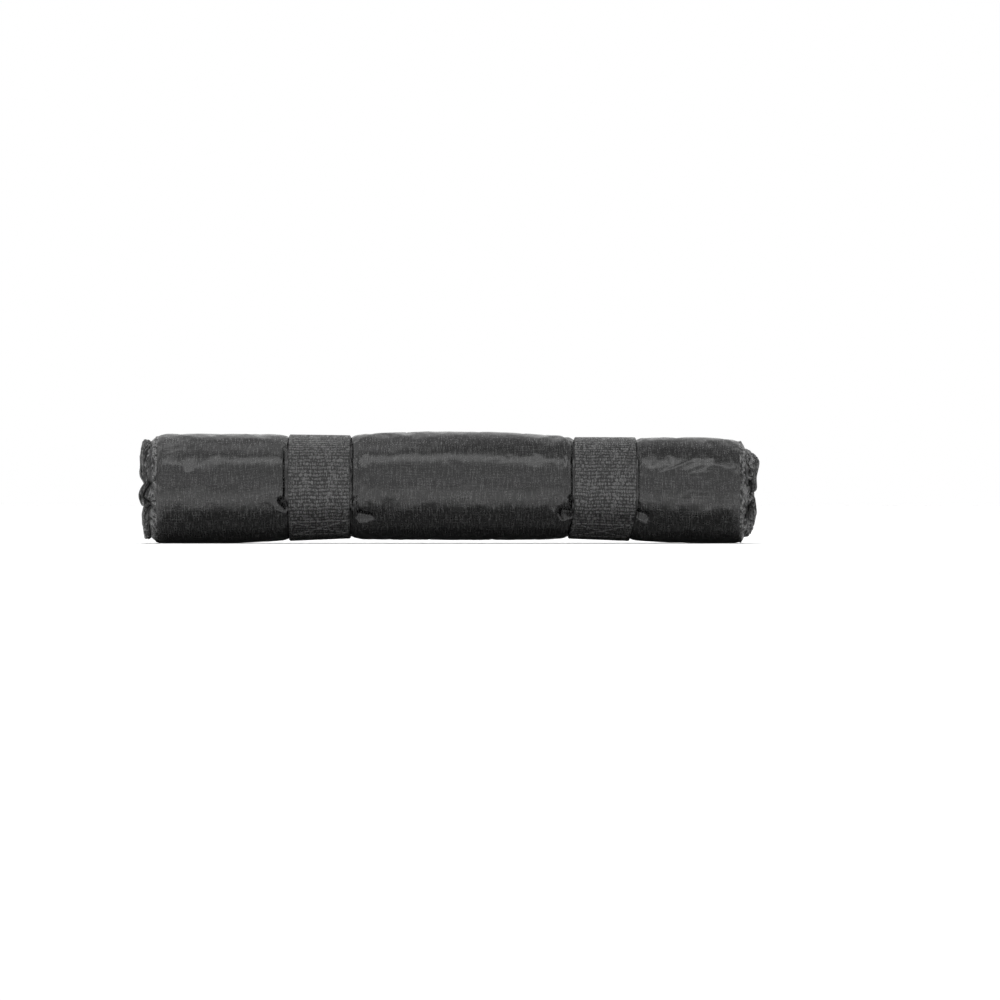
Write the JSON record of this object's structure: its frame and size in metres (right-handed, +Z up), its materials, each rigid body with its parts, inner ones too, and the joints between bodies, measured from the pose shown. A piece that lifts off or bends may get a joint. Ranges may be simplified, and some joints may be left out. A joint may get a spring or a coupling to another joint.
{
  "type": "top tube protector",
  "caption": "Padded fabric sleeve with a through bore, a slit back, webbing straps with hook and loop closure and ruffled bound ends, for wrapping round a bicycle's top tube.",
  "frame": {"origin": "under the middle of the sleeve's bounding box, on the surface that it lies on", "axes": "+X along the sleeve from the left end to the right one, -Y its front, which is the side away from the slit, and +Z up"},
  "size_m": [0.401, 0.0744, 0.0722],
  "materials": {
    "cover_fabric": "semi-gloss woven nylon, padded",
    "foam": "closed-cell polyethylene foam",
    "lining_fabric": "plain woven nylon",
    "binding_tape": "grosgrain tape",
    "webbing": "flat woven polypropylene webbing",
    "loop_tape": "looped pile tape",
    "hook_tape": "tape with stiff moulded hooks"
  },
  "bodies": {
    "root": {"outer_cover": "cover_fabric", "foam_core": "foam", "inner_lining": "lining_fabric", "left_end_binding": "binding_tape", "right_end_binding": "binding_tape", "left_strap": "webbing", "right_strap": "webbing", "left_loop_tape": "loop_tape", "right_loop_tape": "loop_tape", "left_hook_tape": "hook_tape", "right_hook_tape": "hook_tape"}
  },
  "joints": []
}
